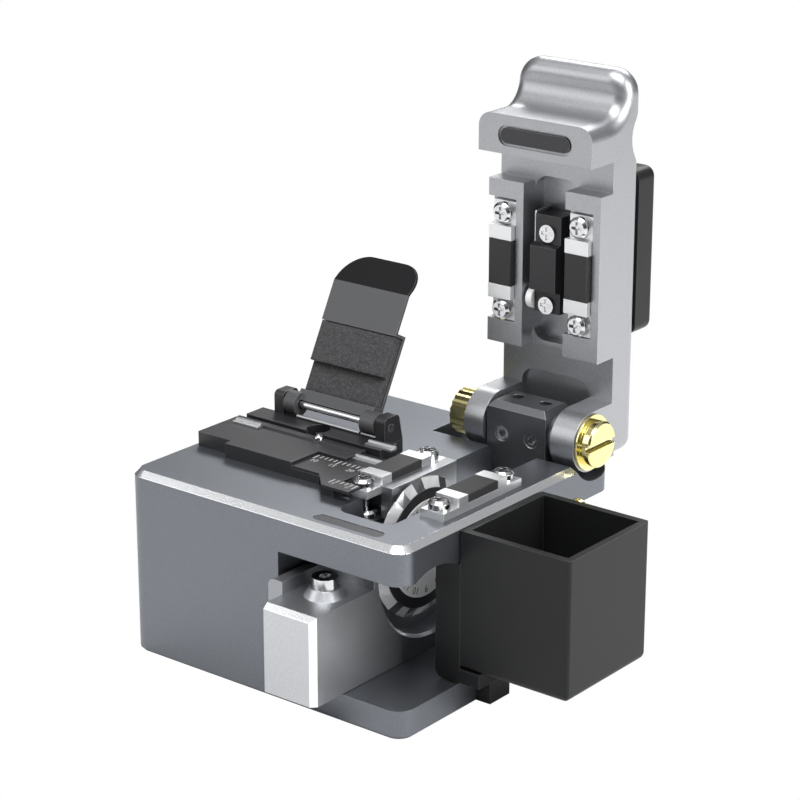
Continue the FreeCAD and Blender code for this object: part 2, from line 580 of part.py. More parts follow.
def make_pads():
    """Four pads, and the bright bracket and post that carry the lower left one."""
    for side in ("left", "right"):
        make_pad("lower_%s_pad" % side, "pad_" + side, "fibre_y", "base_height", False)
        make_pad("upper_%s_pad" % side, "pad_" + side, "seat_front", "lid_pad_z", True)
    shelf = box("bracket_left", "bracket_front", "base_height - pocket_depth",
                "slot_left - bracket_left + fit", "bracket_rear - bracket_front", "pocket_depth")
    fence = box("slot_left + fit", "fence_front", "base_height - pocket_depth", "fence_width",
                "bracket_rear - fence_front", "pocket_depth + fence_rise")
    node("pad_bracket", join(shelf, fence))
    floor = "base_height - pocket_depth"
    post = rod("z", "pad_left", "post_y", floor, "post_radius", "pocket_depth")
    head = rod("z", "pad_left", "post_y", floor, "screw_radius", "screw_head")
    head = dress("Chamfer", head, lambda e: near(middle(e).z, floor + " + screw_head"), "screw_dome")
    collar = rod("z", "pad_left", "post_y", "base_height - post_collar_height * 2", "post_collar",
                 "post_collar_height")
    node("post_screw", join(post, head, collar))


# ---------------------------------------------------------------- anvil
def make_anvil():
    """The sprung anvil in the lid's well, with its screws, leaf, lever and roller."""
    mid = "lid_left + well_margin + well_width / 2"
    left = mid + " - anvil_width / 2"
    plate = box(left, "anvil_front", "anvil_bottom", "anvil_width",
                "well_floor - anvil_front - gap", "anvil_top - anvil_bottom")
    bar = prism("YZ", side_points(
        ("anvil_front + " + OVER, "bar_bottom - bar_slope"), ("anvil_front + " + OVER,
                                                               "bar_top + bar_slope"),
        ("bar_front", "bar_top"), ("bar_front", "bar_bottom")), X0 + left, "anvil_width")
    node("anvil_block", join(plate, bar))
    heads = []
    for z in ("anvil_screw_high", "anvil_screw_low"):
        head = rod("y", mid, "anvil_front - anvil_screw_head", z, "anvil_screw", "anvil_screw_head")
        slits = [box(mid + " - screw_cross_length / 2", "anvil_front - anvil_screw_head * 1.5",
                     z + " - screw_cross / 2", "screw_cross_length", "anvil_screw_head", "screw_cross"),
                 box(mid + " - screw_cross / 2", "anvil_front - anvil_screw_head * 1.5",
                     z + " - screw_cross_length / 2", "screw_cross", "anvil_screw_head",
                     "screw_cross_length")]
        heads.append(cut(head, *slits))
    node("anvil_screws", join(*heads))
    node("anvil_leaf", box(left + " - leaf_thick", "anvil_front + gap", "leaf_bottom", "leaf_thick",
                           "well_floor - anvil_front - 2 * gap", "leaf_top - leaf_bottom"))
    pin_x = left + " - roller_length - 2 * fit"
    node("roller_pin", rod("x", pin_x, "roller_y", "roller_z", "roller_radius / 3",
                           "roller_length + 2 * fit"))
    wheel = rod("x", left + " - roller_length - fit", "roller_y", "roller_z", "roller_radius",
                "roller_length")
    hub = rod("x", left + " - roller_length - fit", "roller_y", "roller_z",
              "roller_radius / 3 + fit", "roller_length")
    node("release_roller", cut(wheel, hub))


# ---------------------------------------------------------------- slider and blade
def make_slider():
    """The sliding block with its blade dish and boss, and the carriage on its left."""
    low = "plate_bottom + slide_floor"
    block = prism("YZ", side_points(
        ("slider_front", low), ("slider_rear", low), ("slider_rear", "slider_high"),
        ("slider_step", "slider_high"), ("slider_step", "slider_low"),
        ("slider_front", "slider_low")), X0 + "slider_left", "slider_width")
    front = Y0 + "slider_front"
    right = X0 + "slider_left + slider_width"

    def bright_edge(edge):
        point = middle(edge)
        top_front = near(point.y, front) and near(point.z, "slider_low")
        side_front = near(point.y, front) and near(point.x, right)
        return top_front or side_front

    block = dress("Chamfer", block, bright_edge, "slider_chamfer")
    boss = cone("z", "boss_x", "boss_y", "slider_low", "boss_radius", "boss_top_radius",
                "boss_height")
    right_x = "slider_left + slider_width"
    dish = rod("x", right_x + " - dish_depth", "dish_y", "dish_z", "dish_radius",
               "dish_depth + " + OVER)
    rim = cone("x", right_x + " - dish_chamfer", "dish_y", "dish_z", "dish_radius",
               "dish_radius + 2 * dish_chamfer", "2 * dish_chamfer")
    bore = rod("x", right_x + " - dish_depth * 2", "blade_y", "blade_z", "blade_shaft",
               "dish_depth * 3")
    node("slider_block", cut(join(block, boss), dish, rim, bore))
    bar = box("carriage_left", "carriage_front", low, "slider_left - carriage_left",
              "carriage_rear - carriage_front", "carriage_top - plate_bottom - slide_floor")
    left = X0 + "carriage_left"
    bar = dress("Fillet", bar, lambda e: runs(e, "y") and near(middle(e).x, left)
                and near(middle(e).z, "carriage_top"), "carriage_corner")
    groove = box("carriage_left - " + OVER, "slider_step", "rail_z - gap",
                 "tunnel_left + rail_depth + gap - carriage_left + " + OVER,
                 "carriage_rear - slider_step + " + OVER, "rail_height + 2 * gap")
    node("slider_carriage", cut(bar, groove))
    head = rod("z", "boss_x", "boss_y", "slider_low + boss_height", "cap_screw",
               "cap_screw_height")
    socket = doc.addObject("Part::Prism", "socket")
    socket.Polygon = 6
    bind(socket, Circumradius="cap_screw_socket", Height="cap_screw_height")
    spot(socket, "boss_x", "boss_y", "slider_low + boss_height + cap_screw_height / 2")
    node("height_screw", cut(head, socket))
    node("blade_shaft", rod("x", right_x + " - dish_depth * 2", "blade_y", "blade_z", "blade_shaft",
                            "blade_edge_x - slider_left - slider_width + dish_depth * 2"))


def make_blade():
    """The round blade with its bevels, black ring and numbered dial."""
    rear = cone("x", "blade_edge_x - blade_bevel", "blade_y", "blade_z", "blade_flat",
                "blade_radius", "blade_bevel")
    face = cone("x", "blade_edge_x", "blade_y", "blade_z", "blade_radius", "blade_flat",
                "blade_bevel")
    bore = rod("x", "blade_edge_x - blade_bevel - " + OVER, "blade_y", "blade_z",
               "blade_shaft + fit", "blade_bevel + " + OVER + " + fit")
    node("blade_wheel", cut(join(rear, face), bore))
    flat = "blade_edge_x + blade_bevel"
    outer = rod("x", flat, "blade_y", "blade_z", "blade_flat", "ring_thick")
    inner = rod("x", flat, "blade_y", "blade_z", "dial_radius", "ring_thick")
    node("blade_ring", cut(outer, inner))
    node("blade_dial", rod("x", flat, "blade_y", "blade_z", "dial_radius", "dial_thick"))


# ---------------------------------------------------------------- fibre holder
def make_holder():
    """The two black holder plates, the scale plate, the ball and the leaf clips."""
    table = prism("XY", plan_points(
        ("holder_left", "holder_notch"), ("holder_step", "holder_notch"),
        ("holder_step", "holder_front"), ("holder_end", "holder_front"),
        ("holder_end", "scale_back"), ("table_end", "scale_back"), ("table_end", "holder_back"),
        ("holder_left", "holder_back")), "base_height", "holder_top - base_height")
    step = box("holder_end", "scale_back - " + OVER, "table_top", "table_end - holder_end + " + OVER,
               "holder_back - scale_back + 2 * " + OVER, OVER)
    groove = prism("YZ", side_points(
        ("fibre_y - groove_depth", "holder_top"), ("fibre_y - groove_depth", "holder_top + " + OVER),
        ("fibre_y + groove_depth", "holder_top + " + OVER), ("fibre_y + groove_depth", "holder_top"),
        ("fibre_y", "holder_top - groove_depth")), X0 + "groove_left",
        "table_end - groove_left + " + OVER)
    seat = box("scale_left", "holder_front - " + OVER, "scale_top - scale_thick",
               "holder_end - scale_left + " + OVER, "scale_back - holder_front + " + OVER,
               "holder_top - scale_top + scale_thick + " + OVER)
    ball_seat = rod("z", "ball_x", "ball_y", "base_height + " + OVER, "ball_radius", "pocket_depth")
    outline = plan_points(("scale_left", "scale_back"), ("scale_left", "holder_front"),
                          ("holder_end", "holder_front"), ("scale_nose_left", "scale_nose_front"),
                          ("scale_nose_right", "scale_nose_front"),
                          ("scale_nose_right", "scale_nose_back"), ("table_end", "scale_nose_back"),
                          ("table_end", "scale_back - fit"), ("holder_end", "scale_back - fit"),
                          ("holder_end", "scale_back"))
    node("scale_plate", prism("XY", outline, "scale_top - scale_thick", "scale_thick"))
    foot = plan_points(("holder_end", "holder_front + foot_inset"),
                       ("scale_nose_left", "scale_nose_front + 2 * foot_inset"),
                       ("bracket_left - foot_inset", "scale_nose_front + 2 * foot_inset"),
                       ("bracket_left - foot_inset", "scale_back - foot_inset"),
                       ("holder_end", "scale_back - foot_inset"))
    foot = prism("XY", foot, "base_height", "scale_top - scale_thick - base_height")
    node("holder_plate", join(cut(table, step, groove, seat, ball_seat), foot))
    strip = box("rear_left", "rear_front", "base_height", "rear_right - rear_left",
                "rear_back - rear_front", "rear_top - base_height")
    ear_end = "ear_right + ear_thick"
    deck = box("ear_left", "rear_back - " + OVER, "base_height", ear_end + " - ear_left",
               "deck_back - rear_back + " + OVER, "deck_top - base_height")
    trough = box("ear_left + ear_thick", "rear_back", "base_height + 2 * gap",
                 "ear_right - ear_left - ear_thick", "deck_back - rear_back + " + OVER, "pocket_depth")
    eye = rod("z", "eye_x", "eye_y", "base_height + 2 * gap", "eye_radius", "pocket_depth")
    deck = cut(join(strip, deck), trough, eye)
    node("holder_rear_plate", deck)
    stem = rod("z", "ball_x", "ball_y", "base_height + " + OVER, "ball_radius",
               "holder_top - base_height - " + OVER)
    dome = doc.addObject("Part::Sphere", "dome")
    bind(dome, Radius="ball_radius")
    spot(dome, "ball_x", "ball_y", "holder_top")
    node("detent_ball", join(stem, dome))
    for name, x, y, z in (("leaf_clip_left", "rear_left + leaf_plate", "holder_back - leaf_width",
                           "holder_top"),
                          ("leaf_clip_right", "holder_end", "holder_back - leaf_width", "table_top"),
                          ("leaf_clip_rear", "rear_right - leaf_width", "rear_front + leaf_plate",
                           "rear_top")):
        arm = box(x, y, z, "leaf_long", "leaf_width / 3", "leaf_plate")
        curl = rod("x", x, y + " + leaf_width / 3", z + " + leaf_plate", "leaf_plate", "leaf_long")
        node(name, join(arm, curl))


# ---------------------------------------------------------------- clamp
def make_clamp_mount():
    """The two ears, the axle and the spring leg of the fibre clamp."""
    for name, x in (("clamp_ear_left", "ear_left"), ("clamp_ear_right", "ear_right")):
        ear = prism("YZ", side_points(
            ("ear_front", "rear_top"), ("rear_back", "rear_top"), ("rear_back", "deck_top"),
            ("deck_back", "deck_top"), ("ear_back", "ear_top"), ("ear_front", "ear_top")),
            X0 + x, "ear_thick")
        ear = dress("Fillet", ear, lambda e: runs(e, "x") and near(middle(e).z, "ear_top"),
                    "ear_round")
        bore = rod("x", x + " - " + OVER, "axle_y", "axle_z", "axle_radius", "ear_thick + 2 * " + OVER)
        node(name, cut(ear, bore))
    node("clamp_axle", rod("x", "ear_left", "axle_y", "axle_z", "axle_radius",
                           "ear_right + ear_thick - ear_left"))
    node("clamp_spring_leg", rod("x", "sheet_left + knuckle_lap + gap", "spring_y",
                                 "rear_top + spring_radius", "spring_radius",
                                 "sheet_width - 2 * knuckle_lap - 2 * gap"))


def clamp_points(*pairs):
    """Outline points (distance from the axle, offset below it) with the clamp lying flat."""
    return [("-(" + u + ")", "-(" + v + ")") for u, v in pairs]


def make_clamp():
    """The bent clamp sheet with its knuckles, and the two foam blocks on it."""
    lean = math.radians(SIZES["lip_angle"])
    run = "lip_length * %.6f" % math.cos(lean)
    drop = "lip_length * %.6f" % math.sin(lean)
    back = "sheet_thick"
    outline = clamp_points(
        ("0", "axle_radius + fit"), ("foam_start - fit", "axle_radius + fit - sheet_thick"),
        ("foam_start - fit", "-sheet_back + " + back), ("jog_at - " + back, "-sheet_back + " + back),
        ("jog_at - " + back, "tab_front"), ("tab_to", "tab_front"),
        ("tab_to + " + run, "tab_front - " + drop),
        ("tab_to + " + run, "tab_front - " + drop + " - " + back),
        ("tab_to", "tab_front - " + back), ("jog_at", "tab_front - " + back),
        ("jog_at", "-sheet_back"), ("foam_start - fit - " + back, "-sheet_back"),
        ("foam_start - fit - " + back, "-axle_radius - fit"), ("0", "-axle_radius - fit"))
    plate = prism("YZ", outline, "0", "sheet_width")
    tip = "tab_to + " + run
    blank = box("0", "-(" + tip + ")", "-knuckle * 2", "sheet_width", tip + " + knuckle",
                "knuckle * 4", shift)
    end = value("-(" + tip + ")")
    blank = dress("Fillet", blank, lambda e: runs(e, "z") and abs(middle(e).y - end) < TINY,
                  "tab_corner")
    plate = common(plate, blank)
    knuckles = []
    for x, length in (("-(sheet_left - ear_left - ear_thick) + gap",
                       "sheet_left - ear_left - ear_thick - gap + knuckle_lap"),
                      ("sheet_width - knuckle_lap",
                       "ear_right - sheet_left - sheet_width + knuckle_lap - gap")):
        knuckles.append(rod("x", x, "0", "0", "knuckle", length, shift))
    solid = join(plate, *knuckles)
    bore = rod("x", "-" + "ear_right", "0", "0", "axle_radius + fit", "2 * base_width", shift)
    gullet = rod("x", "0", "0", "0", "axle_radius + 4 * fit", "sheet_width", shift)
    sheet_piece = cut(solid, bore, gullet)
    inner = box("0", "-foam_step", "-(foam_inner)", "sheet_width", "foam_step - foam_start",
                "foam_inner + sheet_back - sheet_thick", shift)
    outer = box("0", "-foam_end", "-(foam_outer)", "sheet_width", "foam_end - foam_step",
                "foam_outer + sheet_back - sheet_thick", shift)
    for name, piece in (("clamp_sheet", sheet_piece), ("clamp_foam_inner", inner),
                        ("clamp_foam_outer", outer)):
        carrier = carry(piece, Rotation(Vector(-1, 0, 0), SIZES["open_angle"]))
        bind(carrier, Placement__Rotation__Angle="open_angle")
        node(name, spot(carrier, "sheet_left", "axle_y", "axle_z"))


# ---------------------------------------------------------------- waste bin
def make_bin():
    """The open waste bin, its housing under the top plate, its pin and rear knob."""
    tub = box("bin_left", "bin_front", "bin_bottom", "bin_right - bin_left",
              "bin_back - bin_front", "bin_top - bin_bottom")
    tub = dress("Fillet", tub, lambda e: runs(e, "z") and near(middle(e).x, X0 + "bin_right"),
                "bin_corner")
    tub = dress("Fillet", tub, lambda e: runs(e, "y") and near(middle(e).z, "bin_bottom")
                and near(middle(e).x, X0 + "bin_right"), "bin_edge")
    cavity = box("bin_left + bin_wall", "bin_front + bin_wall", "bin_bottom + bin_wall",
                 "bin_right - bin_left - 2 * bin_wall", "bin_back - bin_front - 2 * bin_wall",
                 "bin_top - bin_bottom")
    node("waste_bin", cut(tub, cavity))
    housing = box("housing_left", "bin_front", "housing_bottom", "bin_left - housing_left",
                  "bin_back - bin_front", "housing_top - housing_bottom")
    housing = dress("Fillet", housing, lambda e: runs(e, "y") and near(middle(e).z, "housing_bottom")
                    and near(middle(e).x, X0 + "housing_left"), "bin_edge")
    foot = box("bin_left", "bin_front", "housing_bottom", "housing_foot_right - bin_left",
               "bin_back - bin_front", "bin_bottom - housing_bottom")
    node("bin_housing", join(housing, foot))
    node("bin_pin", rod("z", "pin_x", "pin_y", "housing_bottom - pin_length", "pin_radius",
                        "pin_length"))
    node("bin_knob", rod("y", "knob_x", "bin_back", "knob_z", "knob_radius", "knob_length"))
    node("bin_stop", box("base_width", "stop_front", "stop_bottom", "stop_width", "stop_depth",
                         "stop_height"))


# ---------------------------------------------------------------- build and export
make_base()
make_slide_rail()
make_hinge()
make_lid()
make_pads()
make_anvil()
make_slider()
make_blade()
make_holder()
make_clamp_mount()
make_clamp()
make_bin()
doc.recompute()
for thing in doc.Objects:
    if any(mark in ("Invalid", "Error") for mark in thing.State):
        raise RuntimeError("%s did not build" % thing.Label)
os.makedirs("parts", exist_ok=True)
for name, piece in NODES:
    if piece.Shape.isNull() or not piece.Shape.isValid() or not piece.Shape.Solids:
        raise RuntimeError("%s has no sound solid" % name)
    piece.Shape.exportStep("parts/%s.step" % name)
print("%d nodes" % len(NODES))
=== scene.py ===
"""Dresses the fibre cleaver's CAD frame for a studio picture.

The CAD solids carry the metal, plastic and steel finishes. Soft pieces (the fibre pads' rubbers and
the clamp's foam), the knurled nut, the faceted blade and the printed figures are built here as
meshes and ride on their CAD bodies. All lengths are in metres unless a name says otherwise.
"""

import json
import logging
import math
import random
from dataclasses import dataclass
from enum import Enum
from typing import Callable, Sequence

import bmesh
import bpy
from mathutils import Euler, Matrix, Vector

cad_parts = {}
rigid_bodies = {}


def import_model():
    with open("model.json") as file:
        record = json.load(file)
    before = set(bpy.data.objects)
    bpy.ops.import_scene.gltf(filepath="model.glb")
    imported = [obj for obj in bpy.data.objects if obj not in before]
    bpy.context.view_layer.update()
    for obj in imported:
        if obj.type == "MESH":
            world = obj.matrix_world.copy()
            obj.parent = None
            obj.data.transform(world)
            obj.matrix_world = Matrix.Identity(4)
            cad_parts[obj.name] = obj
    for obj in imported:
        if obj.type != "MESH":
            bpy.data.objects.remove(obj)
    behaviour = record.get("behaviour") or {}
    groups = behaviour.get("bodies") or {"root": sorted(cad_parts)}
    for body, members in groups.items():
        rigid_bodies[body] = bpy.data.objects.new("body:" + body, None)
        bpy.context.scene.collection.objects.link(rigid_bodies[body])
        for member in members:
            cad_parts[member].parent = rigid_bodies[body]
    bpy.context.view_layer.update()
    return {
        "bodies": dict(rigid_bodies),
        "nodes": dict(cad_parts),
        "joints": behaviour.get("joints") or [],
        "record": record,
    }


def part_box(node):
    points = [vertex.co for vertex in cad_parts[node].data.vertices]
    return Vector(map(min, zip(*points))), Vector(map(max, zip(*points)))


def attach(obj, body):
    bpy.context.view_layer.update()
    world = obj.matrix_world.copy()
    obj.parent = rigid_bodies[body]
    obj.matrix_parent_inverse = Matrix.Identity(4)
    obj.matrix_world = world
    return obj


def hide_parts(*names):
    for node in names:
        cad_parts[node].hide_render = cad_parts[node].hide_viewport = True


LOG = logging.getLogger("fibre_cleaver")
MM = 0.001
WHITE = (1.0, 1.0, 1.0, 1.0)
Rgb = tuple[float, float, float]


class Slot(str, Enum):
    """Material slots of the part's record; the pieces made here do not use them."""

    RUBBER = "pad_rubber"
    FOAM = "clamp_foam"
    BRASS = "brass"
    BLADE = "blade_steel"
    PRINT = "dial_white"


# ------------------------------------------------------------------ shader node groups
class NodeGroup:
    """A shader node group with named inputs and outputs."""

    def __init__(self, name: str) -> None:
        """Make an empty group.

        Args:
            name: the group's name.
        """
        self.tree = bpy.data.node_groups.new(name, "ShaderNodeTree")
        self.source = self.tree.nodes.new("NodeGroupInput")
        self.sink = self.tree.nodes.new("NodeGroupOutput")

    def socket(self, name: str, kind: str, default: float | None = None) -> None:
        """Add an input when a default is given, otherwise an output.

        Args:
            name: the socket's name.
            kind: "Float", "Vector" or "Color".
            default: the input's value.
        """
        way = "OUTPUT" if default is None else "INPUT"
        item = self.tree.interface.new_socket(name=name, in_out=way,
                                              socket_type="NodeSocket" + kind)
        if default is not None:
            item.default_value = default

    def node(self, kind: str, **settings: object) -> bpy.types.Node:
        """Add a node.

        Args:
            kind: the node type without "ShaderNode".
            settings: attributes to set on it.

        Returns:
            The new node.
        """
        made = self.tree.nodes.new("ShaderNode" + kind)
        for key, setting in settings.items():
            setattr(made, key, setting)
        return made

    def link(self, out: bpy.types.NodeSocket, into: bpy.types.NodeSocket) -> None:
        """Join two sockets.

        Args:
            out: the socket that gives.
            into: the socket that takes.
        """
        self.tree.links.new(out, into)

    def math(self, operation: str, first: object, second: object = None) -> bpy.types.NodeSocket:
        """Add a math node.

        Args:
            operation: the math node's operation.
            first: a socket or a number.
            second: a socket, a number or nothing.

        Returns:
            The node's value.
        """
        worker = self.node("Math", operation=operation)
        for index, term in enumerate((first, second)):
            if isinstance(term, bpy.types.NodeSocket):
                self.link(term, worker.inputs[index])
            elif term is not None:
                worker.inputs[index].default_value = float(term)
        return worker.outputs[0]


def grain_group() -> bpy.types.NodeTree:
    """Fine random grain, as on blasted metal, foam or moulded plastic.

    Returns:
        A group with inputs Scale, Contrast and Relief, and outputs Value and Normal.
    """
    group = NodeGroup("fine_grain")
    group.socket("Scale", "Float", 4000.0)
    group.socket("Contrast", "Float", 0.2)
    group.socket("Relief", "Float", 0.1)
    group.socket("Value", "Float")
    group.socket("Normal", "Vector")
    place = group.node("TexCoord")
    noise = group.node("TexNoise")
    noise.inputs["Detail"].default_value = 3.0
    group.link(place.outputs["Object"], noise.inputs["Vector"])
    group.link(group.source.outputs["Scale"], noise.inputs["Scale"])
    centred = group.math("SUBTRACT", noise.outputs["Fac"], 0.5)
    scaled = group.math("MULTIPLY", centred, group.source.outputs["Contrast"])
    group.link(group.math("ADD", scaled, 1.0), group.sink.inputs["Value"])
    bump = group.node("Bump")
    bump.inputs["Distance"].default_value = 0.05 * MM
    group.link(group.source.outputs["Relief"], bump.inputs["Strength"])
    group.link(noise.outputs["Fac"], bump.inputs["Height"])
    group.link(bump.outputs["Normal"], group.sink.inputs["Normal"])
    return group.tree


def edge_highlight_group() -> bpy.types.NodeTree:
    """A mask of edges for a painted highlight, from how far a rounded normal leaves the true one.

    Returns:
        A group with inputs Width and Gain, and outputs Mask and Normal.
    """
    group = NodeGroup("edge_painted_highlight")
    group.socket("Width", "Float", 0.2 * MM)
    group.socket("Gain", "Float", 3.0)
    group.socket("Mask", "Float")
    group.socket("Normal", "Vector")
    bevel = group.node("Bevel", samples=6)
    group.link(group.source.outputs["Width"], bevel.inputs["Radius"])
    true_normal = group.node("NewGeometry")
    dot = group.node("VectorMath", operation="DOT_PRODUCT")
    group.link(bevel.outputs["Normal"], dot.inputs[0])
    group.link(true_normal.outputs["Normal"], dot.inputs[1])
    away = group.math("SUBTRACT", 1.0, dot.outputs["Value"])
    mask = group.math("MINIMUM", group.math("MULTIPLY", away, group.source.outputs["Gain"]), 1.0)
    group.link(group.math("MAXIMUM", mask, 0.0), group.sink.inputs["Mask"])
    group.link(bevel.outputs["Normal"], group.sink.inputs["Normal"])
    return group.tree


def chamfer_group() -> bpy.types.NodeTree:
    """A mask of faces that lie aslant, where a cutter has left a bright chamfer.

    Returns:
        A group with inputs Low and High (heights between which chamfers shine) and output Mask.
    """
    group = NodeGroup("bright_chamfer")
    group.socket("Low", "Float", 0.0)
    group.socket("High", "Float", 1.0)
    group.socket("Mask", "Float")
    geometry = group.node("NewGeometry")
    normal = group.node("SeparateXYZ")
    group.link(geometry.outputs["True Normal"], normal.inputs[0])
    place = group.node("SeparateXYZ")
    group.link(group.node("TexCoord").outputs["Object"], place.inputs[0])
    sizes = [group.math("ABSOLUTE", normal.outputs[index]) for index in range(3)]
    largest = group.math("MAXIMUM", group.math("MAXIMUM", sizes[0], sizes[1]), sizes[2])
    aslant = group.math("LESS_THAN", largest, 0.8)
    up = group.math("GREATER_THAN", group.math("MAXIMUM", sizes[2], sizes[0]), 0.3)
    above = group.math("GREATER_THAN", place.outputs["Z"], group.source.outputs["Low"])
    below = group.math("LESS_THAN", place.outputs["Z"], group.source.outputs["High"])
    band = group.math("MULTIPLY", above, below)
    group.link(group.math("MULTIPLY", group.math("MULTIPLY", aslant, up), band),
               group.sink.inputs["Mask"])
    return group.tree


@dataclass
class Groups:
    """The node groups that every finish shares."""

    grain: bpy.types.NodeTree
    edge: bpy.types.NodeTree
    chamfer: bpy.types.NodeTree


# ------------------------------------------------------------------ finishes
@dataclass(frozen=True)
class Finish:
    """One surface finish, turned into a material on request."""

    name: str
    color: Rgb
    metallic: float = 0.0
    roughness: float = 0.5
    specular: float = 0.5
    coat: float = 0.0
    grain_scale: float = 3500.0
    grain_contrast: float = 0.15
    grain_relief: float = 0.1
    edge_width: float = 0.15 * MM
    # colour of the painted highlight along edges; None for no highlight
    edge_color: Rgb | None = None
    edge_gain: float = 3.0
    chamfer_band: tuple[float, float] | None = None
    chamfer_color: Rgb = (0.9, 0.91, 0.93)
    chamfer_roughness: float = 0.18

    def material(self, groups: Groups) -> bpy.types.Material:
        """Build the material.

        Args:
            groups: the shared node groups.

        Returns:
            The material.
        """
        made = bpy.data.materials.new(self.name)
        made.use_nodes = True
        tree = made.node_tree
        shader = tree.nodes["Principled BSDF"]
        shader.inputs["Metallic"].default_value = self.metallic
        shader.inputs["Specular IOR Level"].default_value = self.specular
        shader.inputs["Coat Weight"].default_value = self.coat
        grain = self._group(tree, groups.grain, Scale=self.grain_scale,
                            Contrast=self.grain_contrast, Relief=self.grain_relief)
        edge = self._group(tree, groups.edge, Width=self.edge_width, Gain=self.edge_gain)
        tinted = tree.nodes.new("ShaderNodeVectorMath")
        tinted.operation = "SCALE"
        tinted.inputs[0].default_value = self.color
        tree.links.new(grain.outputs["Value"], tinted.inputs["Scale"])
        color = tinted.outputs["Vector"]
        rough = tree.nodes.new("ShaderNodeMath")
        rough.operation = "MULTIPLY"
        rough.inputs[0].default_value = self.roughness
        tree.links.new(grain.outputs["Value"], rough.inputs[1])
        roughness = rough.outputs[0]
        # edges take the lighter edge colour: a painted highlight along them
        if self.edge_color is not None:
            color = self._mix_color(tree, edge.outputs["Mask"], color, self.edge_color)
        if self.chamfer_band is not None:
            low, high = self.chamfer_band
            shine = self._group(tree, groups.chamfer, Low=low, High=high)
            color = self._mix_color(tree, shine.outputs["Mask"], color, self.chamfer_color)
            roughness = self._mix_value(tree, shine.outputs["Mask"], roughness,
                                        self.chamfer_roughness)
        tree.links.new(color, shader.inputs["Base Color"])
        tree.links.new(roughness, shader.inputs["Roughness"])
        self._join_normals(tree, grain, edge, shader)
        return made

    @staticmethod
    def _group(tree: bpy.types.NodeTree, source: bpy.types.NodeTree,
               **values: float) -> bpy.types.Node:
        """Add a group node with its inputs set.

        Args:
            tree: the material's tree.
            source: the node group.
            values: input values by name.

        Returns:
            The group node.
        """
        holder = tree.nodes.new("ShaderNodeGroup")
        holder.node_tree = source
        for name, number in values.items():
            holder.inputs[name].default_value = number
        return holder

    @staticmethod
    def _mix_color(tree: bpy.types.NodeTree, mask: bpy.types.NodeSocket, base: bpy.types.NodeSocket,
                   color: Rgb) -> bpy.types.NodeSocket:
        """Lay a colour over another where a mask says.

        Args:
            tree: the material's tree.
            mask: how much of the new colour shows.
            base: the colour below.
            color: the colour on top.

        Returns:
            The mixed colour.
        """
        mix = tree.nodes.new("ShaderNodeMix")
        mix.data_type = "RGBA"
        tree.links.new(mask, mix.inputs["Factor"])
        tree.links.new(base, mix.inputs[6])
        mix.inputs[7].default_value = (*color, 1.0)
        return mix.outputs[2]

    @staticmethod
    def _mix_value(tree: bpy.types.NodeTree, mask: bpy.types.NodeSocket, base: bpy.types.NodeSocket,
                   number: float) -> bpy.types.NodeSocket:
        """Blend a value towards a number where a mask says.

        Args:
            tree: the material's tree.
            mask: how much of the number shows.
            base: the value below.
            number: the number on top.

        Returns:
            The mixed value.
        """
        mix = tree.nodes.new("ShaderNodeMix")
        tree.links.new(mask, mix.inputs["Factor"])
        tree.links.new(base, mix.inputs[2])
        mix.inputs[3].default_value = number
        return mix.outputs[0]

    @staticmethod
    def _join_normals(tree: bpy.types.NodeTree, grain: bpy.types.Node, edge: bpy.types.Node,
                      shader: bpy.types.Node) -> None:
        """Add the grain's relief to the rounded edges' normal.

        Args:
            tree: the material's tree.
            grain: the grain group's node.
            edge: the edge group's node.
            shader: the surface shader.
        """
        total = tree.nodes.new("ShaderNodeVectorMath")
        total.operation = "ADD"
        tree.links.new(grain.outputs["Normal"], total.inputs[0])
        tree.links.new(edge.outputs["Normal"], total.inputs[1])
        unit = tree.nodes.new("ShaderNodeVectorMath")
        unit.operation = "NORMALIZE"
        tree.links.new(total.outputs["Vector"], unit.inputs[0])
        tree.links.new(unit.outputs["Vector"], shader.inputs["Normal"])


